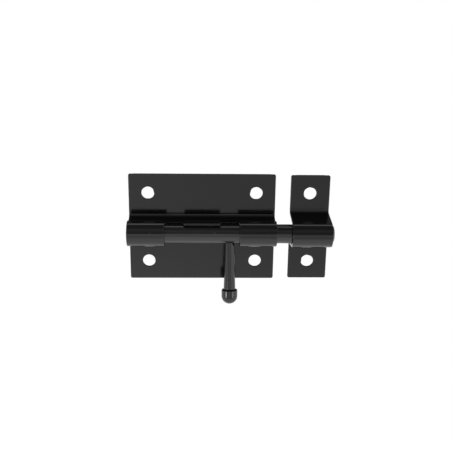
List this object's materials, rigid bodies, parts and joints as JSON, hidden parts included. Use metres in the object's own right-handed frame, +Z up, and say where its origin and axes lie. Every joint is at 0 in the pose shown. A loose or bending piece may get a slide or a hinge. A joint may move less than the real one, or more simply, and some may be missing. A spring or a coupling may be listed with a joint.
{
  "type": "lever bolt",
  "caption": "Surface-mounted door bolt: a round rod in a folded sheet tunnel, thrown by a swinging knobbed lever that drops into side notches, with a looped keeper.",
  "frame": {"origin": "centre of the back plate's four screw holes, on the plate's rear face, which is the face of the door", "axes": "+X along the throw, from the plate to the keeper; +Z up the door; -Y out from the door, towards the viewer"},
  "size_m": [0.1109, 0.0228, 0.0679],
  "materials": {
    "plate_paint": "glossy black paint on folded steel sheet",
    "rod_paint": "glossy black paint on steel bar",
    "lever_paint": "glossy black paint on a turned steel lever"
  },
  "bodies": {
    "mounted": {"back_plate": "plate_paint", "keeper": "plate_paint"},
    "bolt": {"bolt_rod": "rod_paint"},
    "lever": {"lever_handle": "lever_paint"}
  },
  "joints": [
    {"name": "bolt_slide", "type": "slide", "parent": "mounted", "child": "bolt", "axis": [1, 0, 0], "range_m": [-0.0322, 0.0022]},
    {"name": "lever_turn", "type": "hinge", "parent": "bolt", "child": "lever", "pos_m": [0.015, -0.0125, 0], "axis": [-1, 0, 0], "range_deg": [-20, 180]}
  ]
}
